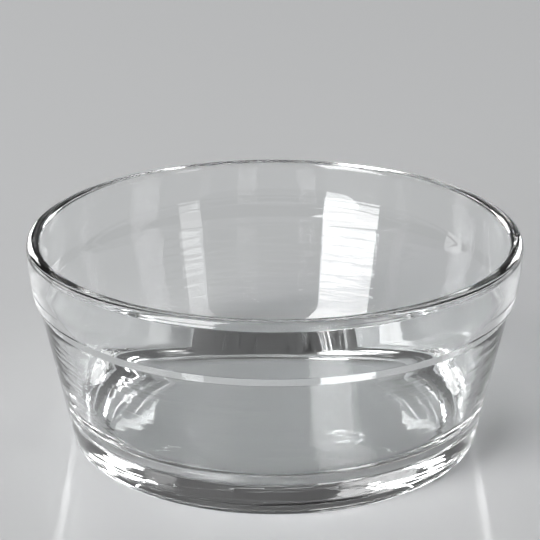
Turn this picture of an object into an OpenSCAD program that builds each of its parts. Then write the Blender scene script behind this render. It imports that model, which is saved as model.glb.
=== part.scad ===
// Pressed clear glass salad bowl: one revolved piece of glass, resting on a flat foot ring.
// The origin is the centre of the foot, +Z points up through the mouth.

/* [Overall] */
// Outer diameter of the bowl just under the rim
rim_d = 170; // [160:1:200]
// Height from the table to the top of the rim
height = 72; // [66:1:90]
// Diameter at which the lower wall's outer face would meet the table
foot_d = 142.8; // [120:0.2:150]

/* [Rim] */
// Thickness of the rim, whose top is nearly a full round
rim_t = 4.5; // [3.6:0.1:5.8]
// Width of the flat left on top, between the rim's two rounded edges
rim_flat = 0.1; // [0.1:0.1:2]
// How far the fine mould line stands out from the rim above it
mould_line = 0.15; // [0.1:0.05:0.4]

/* [Upper band] */
// Height from the shoulder's lower corner to the top of the rim
band_h = 22.4; // [20:0.2:26]
// Lean of the band's outer face at its lower end, in degrees
band_draft = 10.8; // [6:0.2:13]
// Height of the straight strip at the foot of the band, below its bulging face
band_strip = 0.65; // [0.4:0.05:6]

/* [Shoulder] */
// Height of the sloped shoulder under the band
shoulder_h = 3.3; // [2:0.1:5]
// How far the lower wall steps in below the band
shoulder_in = 1.9; // [1:0.1:2.6]
// Radius of the shoulder's upper and lower corners
shoulder_round = 0.8; // [0.3:0.1:1.2]

/* [Foot] */
// Radius of the heel between the outer wall and the foot ring
heel_round = 1.2; // [0.6:0.1:2.5]
// Width of the flat foot ring, heel round included
ring_w = 7.5; // [5:0.5:14]
// Depth of the shallow recess inside the foot ring
recess_h = 1.2; // [0.6:0.1:2]
// Width of the slope from the foot ring up to the recess
recess_slope_w = 2.4; // [1.6:0.1:5]
// Radius of the two corners of that slope
recess_round = 1.2; // [0.4:0.1:1.6]

/* [Inside] */
// Thickness of the glass in the middle of the bowl, over the recess
floor_t = 3.4; // [2.6:0.1:6]
// Width of the floor's dished edge, from its flat middle to the foot of the inner wall
dish_w = 23; // [20:0.5:40]
// Slope of that dished edge, in degrees
dish_rise = 12; // [4:0.5:16]
// Radius of the soft bend where the dished edge starts
dish_bend = 60; // [20:1:70]
// Radius between the dished edge and the inner wall
floor_round = 14; // [8:0.5:16]
// Lean of the inner wall behind the band, in degrees
inner_draft = 4; // [2:0.5:6]
// Thickness of the lower wall just under the shoulder, measured level
wall_t_top = 4.4; // [3.6:0.1:5.2]
// Thickness of the lower wall at the height of the floor, measured level
wall_t_foot = 5.2; // [4:0.1:7]
// How far above the shoulder the inner wall starts to step in
step_above = 7.4; // [5.8:0.2:9]
// How far below the shoulder that step ends
step_below = 1.6; // [0:0.2:4]
// Radius of the two soft bends of that step, seen in section
step_bend = 40; // [20:1:46]

/* [Hidden] */
glass_colour = [0.86, 0.93, 0.92, 0.45];
// Degrees between two points of a rounded corner, and between two points of a long gentle curve
corner_step = 7.5;
curve_step = 1.5;
// Corners with at least this radius are long gentle curves
long_curve = 30;
turns_fn = 180;

rim_r = rim_d/2;
foot_r = foot_d/2;
rim_round = (rim_t - rim_flat)/2;
rim_face_r = rim_r - mould_line;
rim_inner_r = rim_face_r - rim_t;
mould_high_z = height - rim_round;
mould_low_z = mould_high_z - mould_line;
shoulder_z = height - band_h;
band_low_z = shoulder_z + shoulder_h;
// The bulging face starts upright at the mould line and reaches its full lean above the strip
band_leg = (mould_low_z - band_low_z - band_strip)/(1 + cos(band_draft));
band_curve = band_leg/tan(band_draft/2);
band_knee_z = mould_low_z - band_leg;
band_low_r = rim_r - (band_knee_z - band_low_z)*tan(band_draft);
shoulder_r = band_low_r - shoulder_in;
ring_inner_r = foot_r - ring_w;
floor_z = recess_h + floor_t;
step_top_z = shoulder_z + step_above;
step_low_z = shoulder_z - step_below;
step_top_r = rim_inner_r - (height - step_top_z)*tan(inner_draft);
step_low_r = wall_r(step_low_z) - wall_t_top;
inner_foot_r = wall_r(floor_z) - wall_t_foot;
dish_r = inner_foot_r - dish_w;
// The dished edge and the inner wall meet at floor_corner, before the corner is rounded
wall_flare = (step_low_r - inner_foot_r)/(step_low_z - floor_z);
dish_slope = tan(dish_rise);
floor_corner_r = inner_foot_r + dish_w*dish_slope*wall_flare/(1 - dish_slope*wall_flare);
floor_corner_z = floor_z + (floor_corner_r - dish_r)*dish_slope;

// Radius of the lower wall's outer face at height z
function wall_r(z) = foot_r + (shoulder_r - foot_r)*z/shoulder_z;

// Corners of the glass section as [radius from the axis, height, corner radius].
// They run from the middle of the underside out to the heel, up the outside, over the rim
// and down the inside to the middle of the floor.
section = [
    [0, recess_h, 0],
    [ring_inner_r - recess_slope_w, recess_h, recess_round],
    [ring_inner_r, 0, recess_round],
    [foot_r, 0, heel_round],
    [shoulder_r, shoulder_z, shoulder_round],
    [band_low_r, band_low_z, shoulder_round],
    [rim_r, band_knee_z, band_curve],
    [rim_r, mould_low_z, 0],
    [rim_face_r, mould_high_z, 0],
    [rim_face_r, height, rim_round],
    [rim_inner_r, height, rim_round],
    [step_top_r, step_top_z, step_bend],
    [step_low_r, step_low_z, step_bend],
    [floor_corner_r, floor_corner_z, floor_round],
    [dish_r, floor_z, dish_bend],
    [0, floor_z, 0]
];

function unit(v) = v/norm(v);

function cross_z(a, b) = a.x*b.y - a.y*b.x;

// Points of the arc of radius r that rounds corner p between its neighbours a and b
function rounded(a, p, b, r) =
    let (
        to_a = unit(a - p),
        to_b = unit(b - p),
        half = acos(to_a*to_b)/2,
        centre = p + unit(to_a + to_b)*r/sin(half),
        start = p + to_a*r/tan(half),
        turn = sign(cross_z(-to_a, to_b))*(180 - 2*half),
        steps = max(2, ceil(abs(turn)/(r >= long_curve ? curve_step : corner_step))),
        first = start - centre
    )
    [for (i = [0:steps])
        let (t = turn*i/steps)
        centre + [first.x*cos(t) - first.y*sin(t), first.x*sin(t) + first.y*cos(t)]];

// Outline through all the corners, each either sharp or rounded by its own radius
function outline(c) = [
    for (i = [0:len(c) - 1])
        let (
            p = [c[i].x, c[i].y],
            a = c[(i + len(c) - 1) % len(c)],
            b = c[(i + 1) % len(c)]
        )
        each c[i].z > 0 ? rounded([a.x, a.y], p, [b.x, b.y], c[i].z) : [p]
];

// The whole bowl: the section turned about the axis
module bowl() {
    color(glass_colour)
        rotate_extrude($fn = turns_fn)
            polygon(outline(section));
}

bowl();
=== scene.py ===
# %% [markdown]
# # A pressed glass bowl, drawn like a turner's section and spun
# The object is a round salad bowl of clear pressed glass. Hot glass was dropped into an iron
# mould and pressed with a plunger, and the rim was melted round in a flame afterwards. So all of
# it is one piece of glass, and every line that the eye reads on it is light bent by its section.
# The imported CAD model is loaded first. It is the fixed frame: its box is the size to keep to.

# %% Load the frame
import math

import bpy
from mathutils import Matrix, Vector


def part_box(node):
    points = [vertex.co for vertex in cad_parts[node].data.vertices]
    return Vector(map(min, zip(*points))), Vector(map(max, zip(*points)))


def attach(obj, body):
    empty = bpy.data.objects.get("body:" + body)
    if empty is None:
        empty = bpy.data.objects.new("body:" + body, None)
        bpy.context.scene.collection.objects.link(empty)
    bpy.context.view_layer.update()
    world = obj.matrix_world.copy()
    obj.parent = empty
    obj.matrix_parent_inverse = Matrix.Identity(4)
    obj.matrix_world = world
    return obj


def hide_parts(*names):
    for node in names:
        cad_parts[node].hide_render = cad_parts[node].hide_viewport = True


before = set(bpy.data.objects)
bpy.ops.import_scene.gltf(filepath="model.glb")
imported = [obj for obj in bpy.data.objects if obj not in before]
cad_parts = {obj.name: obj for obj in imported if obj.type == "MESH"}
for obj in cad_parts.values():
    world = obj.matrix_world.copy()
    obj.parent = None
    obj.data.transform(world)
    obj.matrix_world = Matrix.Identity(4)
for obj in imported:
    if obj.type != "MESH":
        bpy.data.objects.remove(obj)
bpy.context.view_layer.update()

# %% [markdown]
# ## The camera
# The bowl stands a little under the eye of somebody at a table. A long lens, 0.64 m away and
# tilted down by 20 degrees, draws its mouth as a flat ellipse that fills most of the picture.
# These numbers came from fitting one camera to the bowl's outline, so no shift is needed.

# %% Camera
FOCAL_MM = 119.22
SENSOR_MM = 36.0
CAMERA_AT = (0.0, -0.58116, 0.27377)
LOOK_DOWN = 0.3565
LOOK_ASIDE = 0.0028

camera = bpy.data.objects.new("camera", bpy.data.cameras.new("camera"))
bpy.context.scene.collection.objects.link(camera)
camera.location = CAMERA_AT
camera.rotation_euler = (math.pi / 2 - LOOK_DOWN, 0.0, LOOK_ASIDE)
camera.data.sensor_width = SENSOR_MM
camera.data.lens = FOCAL_MM
camera.data.clip_start = 0.01
bpy.context.scene.camera = camera
print("camera height above the table in mm:", round(1000 * CAMERA_AT[2]))

# %% [markdown]
# ## Sizes of the section
# Glass hides nothing. A wall that is half a millimetre too thick moves every highlight, so the
# sizes are kept in one place, in millimetres. They are the same ones that the CAD model has.

# %% Sizes in millimetres
RIM_R = 85.0
HEIGHT = 72.0
FOOT_R = 71.4
RIM_T = 4.5
RIM_FLAT = 0.1
MOULD_LINE = 0.15
BAND_H = 22.4
BAND_DRAFT = math.radians(10.8)
BAND_STRIP = 0.65
SHOULDER_H = 3.3
SHOULDER_IN = 1.9
SHOULDER_ROUND = 0.8
HEEL_ROUND = 1.2
RING_W = 7.5
RECESS_H = 1.2
RECESS_SLOPE_W = 2.4
RECESS_ROUND = 1.2
FLOOR_T = 3.4
DISH_W = 23.0
DISH_RISE = math.radians(12.0)
DISH_BEND = 60.0
FLOOR_ROUND = 14.0
INNER_DRAFT = math.radians(4.0)
WALL_T_TOP = 4.4
WALL_T_FOOT = 5.2
STEP_ABOVE = 7.4
STEP_BELOW = 1.6
STEP_BEND = 40.0

# %% [markdown]
# ## Corners of the section
# Each corner is a radius from the axis, a height and the radius that rounds it. They run from the
# middle of the underside to the heel, up the outside, over the rim and down the inside.

# %% Corners
rim_round = (RIM_T - RIM_FLAT) / 2
rim_face = RIM_R - MOULD_LINE
mould_high = HEIGHT - rim_round
mould_low = mould_high - MOULD_LINE
shoulder_z = HEIGHT - BAND_H
band_low = shoulder_z + SHOULDER_H
band_leg = (mould_low - band_low - BAND_STRIP) / (1 + math.cos(BAND_DRAFT))
band_knee = mould_low - band_leg
band_r = RIM_R - (band_knee - band_low) * math.tan(BAND_DRAFT)
shoulder_r = band_r - SHOULDER_IN
ring_inner = FOOT_R - RING_W
floor_z = RECESS_H + FLOOR_T


def wall_r(z):
    """Radius of the lower wall's outer face at height z."""
    return FOOT_R + (shoulder_r - FOOT_R) * z / shoulder_z


step_top = shoulder_z + STEP_ABOVE
step_low = shoulder_z - STEP_BELOW
rim_inner = rim_face - RIM_T
step_low_r = wall_r(step_low) - WALL_T_TOP
inner_foot = wall_r(floor_z) - WALL_T_FOOT
dish_r = inner_foot - DISH_W
wall_flare = (step_low_r - inner_foot) / (step_low - floor_z)
dish_slope = math.tan(DISH_RISE)
floor_corner_r = inner_foot + DISH_W * dish_slope * wall_flare / (1 - dish_slope * wall_flare)
floor_corner_z = floor_z + (floor_corner_r - dish_r) * dish_slope
corners = [
    (0.0, RECESS_H, 0.0),
    (ring_inner - RECESS_SLOPE_W, RECESS_H, RECESS_ROUND),
    (ring_inner, 0.0, RECESS_ROUND),
    (FOOT_R, 0.0, HEEL_ROUND),
    (shoulder_r, shoulder_z, SHOULDER_ROUND),
    (band_r, band_low, SHOULDER_ROUND),
    (RIM_R, band_knee, band_leg / math.tan(BAND_DRAFT / 2)),
    (RIM_R, mould_low, 0.0),
    (rim_face, mould_high, 0.0),
    (rim_face, HEIGHT, rim_round),
    (rim_inner, HEIGHT, rim_round),
    (rim_inner - (HEIGHT - step_top) * math.tan(INNER_DRAFT), step_top, STEP_BEND),
    (step_low_r, step_low, STEP_BEND),
    (floor_corner_r, floor_corner_z, FLOOR_ROUND),
    (dish_r, floor_z, DISH_BEND),
    (0.0, floor_z, 0.0),
]
print("corners of the section:", len(corners))

# %% [markdown]
# ## Arcs with a compass
# A draughtsman rounds a corner by setting the compass where the arc touches both lines. The same
# sum gives the point where each arc starts, its centre and how far it turns.

# %% Arcs
def rounding(before, corner, after):
    """Start, centre, signed angle and end of the arc that rounds a corner."""
    x, z, r = corner
    if r <= 0:
        return (x, z), None, 0.0, (x, z)
    legs = []
    for other in (before, after):
        dx, dz = other[0] - x, other[1] - z
        far = math.hypot(dx, dz)
        legs.append((dx / far, dz / far))
    (ax, az), (bx, bz) = legs
    half = math.acos(max(-1.0, min(1.0, ax * bx + az * bz))) / 2
    mx, mz = ax + bx, az + bz
    out = r / math.sin(half) / math.hypot(mx, mz)
    reach = r / math.tan(half)
    turn = math.copysign(math.pi - 2 * half, -ax * bz + az * bx)
    start = (x + ax * reach, z + az * reach)
    end = (x + bx * reach, z + bz * reach)
    return start, (x + mx * out, z + mz * out), turn, end


arcs = [rounding(corners[i - 1], c, corners[(i + 1) % len(corners)]) for i, c in enumerate(corners)]
print("largest turn in degrees:", round(max(abs(math.degrees(a[2])) for a in arcs), 1))

# %% [markdown]
# ## Drawing the section
# A tiny plane is added where the line begins and merged to one point. From there straight runs are
# extruded and each rounded corner is a spin of the point about the arc's centre, as a compass
# draws it. Every straight run gets a close point at both ends, a tenth of a millimetre in. Smooth
# shading averages a face with its neighbour, and those points keep the average off the long
# straight faces, where glass would show it as a false ripple.

# %% Draw the section
MM = 0.001
CLOSE_MM = 0.1
ARC_MM = 0.8
ARC_DEG = 6.0
ARC_MIN_STEPS = 3
SHORTEST_MM = 1e-6

bpy.ops.object.select_all(action="DESELECT")
first_x, first_z = corners[0][:2]
bpy.ops.mesh.primitive_plane_add(size=MM, location=(first_x * MM, 0.0, first_z * MM))
bowl = bpy.context.object
bowl.name = bowl.data.name = "glass_bowl"
bpy.ops.object.mode_set(mode="EDIT")
bpy.ops.mesh.select_mode(type="VERT")
bpy.ops.mesh.select_all(action="SELECT")
bpy.ops.mesh.merge(type="CENTER")
pen = [first_x, first_z]


def line_to(x, z):
    """Extrudes the pen's point to x, z in millimetres."""
    step = ((x - pen[0]) * MM, 0.0, (z - pen[1]) * MM)
    bpy.ops.mesh.extrude_region_move(TRANSFORM_OT_translate={"value": step})
    pen[:] = [x, z]


def run_to(x, z):
    """A straight run, with a close point at each end where it is long enough."""
    dx, dz = x - pen[0], z - pen[1]
    far = math.hypot(dx, dz)
    if far < SHORTEST_MM:
        return
    x0, z0 = pen
    if far > 4 * CLOSE_MM:
        for share in (CLOSE_MM / far, 1 - CLOSE_MM / far):
            line_to(x0 + dx * share, z0 + dz * share)
    line_to(x, z)


def arc_about(centre, turn, end):
    """Spins the pen's point about the arc's centre."""
    radius = math.hypot(end[0] - centre[0], end[1] - centre[1])
    by_length = math.ceil(abs(turn) * radius / ARC_MM)
    by_angle = math.ceil(math.degrees(abs(turn)) / ARC_DEG)
    bpy.ops.mesh.spin(
        steps=max(ARC_MIN_STEPS, by_length, by_angle),
        angle=turn,
        center=(centre[0] * MM, 0.0, centre[1] * MM),
        axis=(0.0, 1.0, 0.0),
    )
    pen[:] = end


for start, centre, turn, end in arcs[1:]:
    run_to(*start)
    if centre:
        arc_about(centre, turn, end)

bpy.ops.object.mode_set(mode="OBJECT")
print("points of the section:", len(bowl.data.vertices), "edges:", len(bowl.data.edges))

# %% [markdown]
# ## One full turn
# The line is spun about the bowl's axis in 256 steps, so the rim's edge is a chord of only 2 mm.
# The spin leaves a heap of equal points at both poles, so doubles are merged before the normals
# are turned outward. Then the object's place goes into its mesh.

# %% Spin the bowl
TURN_STEPS = 256
SAME_POINT_MM = 0.002

bpy.ops.object.mode_set(mode="EDIT")
bpy.ops.mesh.select_all(action="SELECT")
bpy.ops.mesh.spin(
    steps=TURN_STEPS,
    angle=2 * math.pi,
    center=(0.0, 0.0, 0.0),
    axis=(0.0, 0.0, 1.0),
    use_auto_merge=True,
)
bpy.ops.mesh.select_all(action="SELECT")
bpy.ops.mesh.remove_doubles(threshold=SAME_POINT_MM * MM)
bpy.ops.mesh.normals_make_consistent(inside=False)
bpy.ops.object.mode_set(mode="OBJECT")
bpy.ops.object.transform_apply(location=True, rotation=True, scale=True)
bpy.ops.object.shade_smooth()
print("faces of the bowl:", len(bowl.data.polygons), "points:", len(bowl.data.vertices))

# %% [markdown]
# ## Is it the same bowl?
# The spun mesh has to fill the CAD node's box. Its volume is compared too, because an inner wall
# in the wrong place wouldn't show in the box. Volume comes from summing the pyramids between each
# face and the origin.

# %% Compare box and volume
CM3_PER_M3 = 1e6


def glass_volume(obj):
    """Volume of a closed mesh in cubic centimetres."""
    obj.data.calc_loop_triangles()
    points = [v.co for v in obj.data.vertices]
    total = 0.0
    for triangle in obj.data.loop_triangles:
        a, b, c = (points[i] for i in triangle.vertices)
        total += a.dot(b.cross(c))
    return total / 6 * CM3_PER_M3


low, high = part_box("bowl")
own = [v.co for v in bowl.data.vertices]
print("CAD node in mm:", [round(1000 * v, 2) for v in (*low, *high)])
print("spun bowl in mm:", [round(1000 * f(p[i] for p in own), 2) for f in (min, max) for i in range(3)])
cad_volume = glass_volume(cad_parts["bowl"])
print("volume in cm3, CAD and spun:", round(cad_volume, 2), round(glass_volume(bowl), 2))

# %% [markdown]
# ## Helpers for materials
# Colours are written as sRGB hex, as a paint maker lists them, and turned to linear light once.
# One function adds a node, sets its values and links its inputs.

# %% Colour and node helpers
def linear(hex_code):
    """Linear RGBA of an sRGB hex colour."""
    parts = [int(hex_code[i : i + 2], 16) / 255 for i in (1, 3, 5)]
    return (*[p / 12.92 if p <= 0.04045 else ((p + 0.055) / 1.055) ** 2.4 for p in parts], 1.0)


def add_node(tree, kind, settings=None, values=None, links=None):
    """Adds a node, sets its own settings and input values, and links outputs into its inputs."""
    node = tree.nodes.new(kind)
    for name, value in (settings or {}).items():
        setattr(node, name, value)
    for name, value in (values or {}).items():
        node.inputs[name].default_value = value
    for name, output in (links or {}).items():
        tree.links.new(output, node.inputs[name])
    return node


def new_material(name):
    """An empty node material and its output node."""
    material = bpy.data.materials.new(name)
    material.use_nodes = True
    material.node_tree.nodes.clear()
    return material, material.node_tree.nodes.new("ShaderNodeOutputMaterial")


print("middle grey #808080 in linear light:", round(linear("#808080")[0], 3))

# %% [markdown]
# ## Pressed soda-lime glass
# Soda-lime glass bends light at an index of 1.52, lets nearly all of it through and has almost no
# colour. The plunger and the flame left the inside and the upper band smooth, apart from a slow
# wave in the glass. The lower wall's outside kept the skin of the mould. Shallow ripples run
# round it, where the glass chilled as it crept up: a few millimetres wide and a few centimetres
# long. Head on they can't be seen. Where the wall turns away from the eye they break a highlight
# into fine streaks.
#
# The ripples are noise, read at a place made of the way round and the way up the section. Radius
# plus height grows along the foot and up the wall alike, so one sum serves both. Two soft ramps
# keep them on the outside of the lower wall. One goes by the depth under its skin, the other by
# the drop below the shoulder.

# %% Glass
GLASS_IOR = 1.52
GLASS_HEX = "#FBFCFC"
RIPPLE_WIDTH_MM = 2.6
RIPPLE_LENGTH_MM = 20.0
RIPPLE_DEPTH_MM = 0.07
WALL_R_MM = 75.0
SKIN_FROM_MM, SKIN_FULL_MM = 3.0, 1.5
DROP_FROM_MM, DROP_FULL_MM = 2.0, 7.0
WAVE_LENGTH_MM = 25.0
WAVE_DEPTH_MM = 0.006

glass, glass_out = new_material("pressed_soda_lime_glass")
tree = glass.node_tree
place = add_node(tree, "ShaderNodeTexCoord")
level = add_node(
    tree,
    "ShaderNodeVectorMath",
    {"operation": "MULTIPLY"},
    {1: (1.0, 1.0, 0.0)},
    {0: place.outputs["Object"]},
)
radius = add_node(
    tree,
    "ShaderNodeVectorMath",
    {"operation": "LENGTH"},
    links={0: level.outputs["Vector"]},
)
way_round = add_node(
    tree,
    "ShaderNodeVectorMath",
    {"operation": "NORMALIZE"},
    links={0: level.outputs["Vector"]},
)
parts = add_node(tree, "ShaderNodeSeparateXYZ", links={"Vector": place.outputs["Object"]})
way_up = add_node(
    tree,
    "ShaderNodeMath",
    {"operation": "ADD"},
    links={0: radius.outputs["Value"], 1: parts.outputs["Z"]},
)
up_only = add_node(tree, "ShaderNodeCombineXYZ", links={"Z": way_up.outputs["Value"]})
up_scaled = add_node(
    tree,
    "ShaderNodeVectorMath",
    {"operation": "SCALE"},
    {"Scale": 1000 / RIPPLE_WIDTH_MM},
    {0: up_only.outputs["Vector"]},
)
ripple_place = add_node(
    tree,
    "ShaderNodeVectorMath",
    {"operation": "MULTIPLY_ADD"},
    {1: (WALL_R_MM / RIPPLE_LENGTH_MM,) * 3},
    {0: way_round.outputs["Vector"], 2: up_scaled.outputs["Vector"]},
)
ripples = add_node(
    tree,
    "ShaderNodeTexNoise",
    values={"Scale": 1.0, "Detail": 2.0, "Roughness": 0.4, "Distortion": 0.3},
    links={"Vector": ripple_place.outputs["Vector"]},
)
upright = add_node(
    tree,
    "ShaderNodeMath",
    {"operation": "MULTIPLY_ADD"},
    {1: -(shoulder_r - FOOT_R) / shoulder_z},
    {0: parts.outputs["Z"], 2: radius.outputs["Value"]},
)
outside = add_node(
    tree,
    "ShaderNodeMapRange",
    {"interpolation_type": "SMOOTHSTEP"},
    {"From Min": (FOOT_R - SKIN_FROM_MM) * MM, "From Max": (FOOT_R - SKIN_FULL_MM) * MM},
    {"Value": upright.outputs["Value"]},
)
below = add_node(
    tree,
    "ShaderNodeMapRange",
    {"interpolation_type": "SMOOTHSTEP"},
    {"From Min": (shoulder_z - DROP_FROM_MM) * MM, "From Max": (shoulder_z - DROP_FULL_MM) * MM},
    {"Value": parts.outputs["Z"]},
)
skin = add_node(
    tree,
    "ShaderNodeMath",
    {"operation": "MULTIPLY"},
    links={0: outside.outputs["Result"], 1: below.outputs["Result"]},
)
waves = add_node(
    tree,
    "ShaderNodeTexNoise",
    values={"Scale": 1000 / WAVE_LENGTH_MM, "Detail": 1.0, "Roughness": 0.4},
    links={"Vector": place.outputs["Object"]},
)
wave_bump = add_node(
    tree,
    "ShaderNodeBump",
    values={"Strength": 1.0, "Distance": WAVE_DEPTH_MM * MM},
    links={"Height": waves.outputs["Fac"]},
)
ripple_bump = add_node(
    tree,
    "ShaderNodeBump",
    values={"Distance": RIPPLE_DEPTH_MM * MM},
    links={
        "Strength": skin.outputs["Value"],
        "Height": ripples.outputs["Fac"],
        "Normal": wave_bump.outputs["Normal"],
    },
)
surface = add_node(
    tree,
    "ShaderNodeBsdfPrincipled",
    values={
        "Base Color": linear(GLASS_HEX),
        "Roughness": 0.0,
        "IOR": GLASS_IOR,
        "Transmission Weight": 1.0,
    },
    links={"Normal": ripple_bump.outputs["Normal"]},
)
tree.links.new(surface.outputs["BSDF"], glass_out.inputs["Surface"])
bowl.data.materials.clear()
bowl.data.materials.append(glass)
print("ripple slope, about, in degrees:", round(math.degrees(RIPPLE_DEPTH_MM / RIPPLE_WIDTH_MM * 2), 2))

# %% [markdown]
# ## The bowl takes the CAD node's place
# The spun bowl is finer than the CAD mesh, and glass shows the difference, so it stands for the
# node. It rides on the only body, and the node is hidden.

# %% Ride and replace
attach(bowl, "root")
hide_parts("bowl")
print("the spun bowl replaces the node in the clear_glass slot:", bowl.name)

# %% [markdown]
# ## A pale table
# Clear glass takes its tone from what is behind it. A plain pale grey sheet shows the bowl's edges
# dark and its highlights white. The sheet is nearly matt: it mirrors only three hundredths of the
# light, enough to show the bowl's two bright edges in it. It lies a twentieth of a millimetre
# lower than the foot, because two faces in one plane would flicker.

# %% Table
TABLE_HEX = "#BDBEBF"
TABLE_MIRRORS = 0.03
TABLE_ROUGHNESS = 0.08
TABLE_ACROSS_M = 12.0
TABLE_GAP_MM = 0.05

bpy.ops.mesh.primitive_plane_add(size=TABLE_ACROSS_M, location=(0.0, 0.0, -TABLE_GAP_MM * MM))
table = bpy.context.object
table.name = "table"
table_sheet, table_out = new_material("pale_satin_sheet")
paper = add_node(
    table_sheet.node_tree,
    "ShaderNodeBsdfDiffuse",
    values={"Color": linear(TABLE_HEX)},
)
gloss = add_node(
    table_sheet.node_tree,
    "ShaderNodeBsdfGlossy",
    values={"Color": (1.0, 1.0, 1.0, 1.0), "Roughness": TABLE_ROUGHNESS},
)
satin = add_node(
    table_sheet.node_tree,
    "ShaderNodeMixShader",
    values={"Fac": TABLE_MIRRORS},
    links={1: paper.outputs["BSDF"], 2: gloss.outputs["BSDF"]},
)
table_sheet.node_tree.links.new(satin.outputs["Shader"], table_out.inputs["Surface"])
table.data.materials.append(table_sheet)
print("table, metres across:", table.dimensions.x)

# %% [markdown]
# ## Soft light
# Glass shows every lamp as a shape, so each lamp has its own task. A tall strip at the front left
# is the bright upright bar on the back wall, and the part above it is the bar on the bowl's floor.
# A narrow strip at the front right is the grey bar at the left of the back wall. Low lamps at the
# side and behind put light into the ends of the band and the heel, where the wall turns away from
# the eye. All stand 3.5 m away, so that the table is lit evenly, and the room is a dim grey.
# Each lamp's brightness is written as the eye would see its face, 1 being white.

# %% Lamps
LAMPS_AWAY_M = 3.5
ROOM_HEX = "#505050"


def softbox(name, azimuth, wide_deg, low_m, high_m, face):
    """An upright lamp, azimuth degrees left of the camera and as wide as it looks from the bowl."""
    turn = math.radians(azimuth)
    width = 2 * LAMPS_AWAY_M * math.tan(math.radians(wide_deg / 2))
    data = bpy.data.lights.new(name, "AREA")
    data.shape = "RECTANGLE"
    data.size, data.size_y = width, high_m - low_m
    data.energy = face * width * (high_m - low_m) * math.pi
    lamp = bpy.data.objects.new(name, data)
    bpy.context.scene.collection.objects.link(lamp)
    aside, ahead = LAMPS_AWAY_M * math.sin(turn), LAMPS_AWAY_M * math.cos(turn)
    lamp.location = (-aside, -ahead, (low_m + high_m) / 2)
    lamp.rotation_euler = (math.pi / 2, 0.0, -turn)
    lamp.visible_camera = False
    print(name, "in metres:", round(width, 2), "by", round(high_m - low_m, 2))


softbox("strip_lamp", 41.5, 31.0, 0.0, 2.7, 11.5)
softbox("strip_lamp_top", 41.5, 31.0, 2.7, 5.8, 12.0)
softbox("right_lamp", -46.0, 12.0, 0.0, 2.6, 3.5)
softbox("left_side_lamp", 108.0, 12.0, 0.0, 1.6, 3.0)
softbox("left_back_lamp", 152.0, 20.0, 0.0, 1.6, 8.5)
softbox("right_back_lamp", -147.0, 18.0, 0.0, 1.6, 8.5)

room = bpy.data.worlds.new("dim_room")
bpy.context.scene.world = room
room.use_nodes = True
backdrop = room.node_tree.nodes["Background"]
backdrop.inputs["Color"].default_value = linear(ROOM_HEX)
backdrop.inputs["Strength"].default_value = 1.0

# %% [markdown]
# ## Colour and light paths
# The Standard view shows a colour as it is written. Light turns many times inside a wall of glass,
# and with fewer bounces than these the heel goes black. Cycles also blurs the glass for light that
# has met the table first. Then much less light gets back out, and the table looks smoked under
# clear glass, so the blur is taken off.

# %% View and bounces
scene = bpy.context.scene
scene.view_settings.view_transform = "Standard"
scene.cycles.max_bounces = 24
scene.cycles.transmission_bounces = 24
scene.cycles.glossy_bounces = 12
scene.cycles.blur_glossy = 0.0
print("view transform:", scene.view_settings.view_transform, "bounces:", scene.cycles.max_bounces)
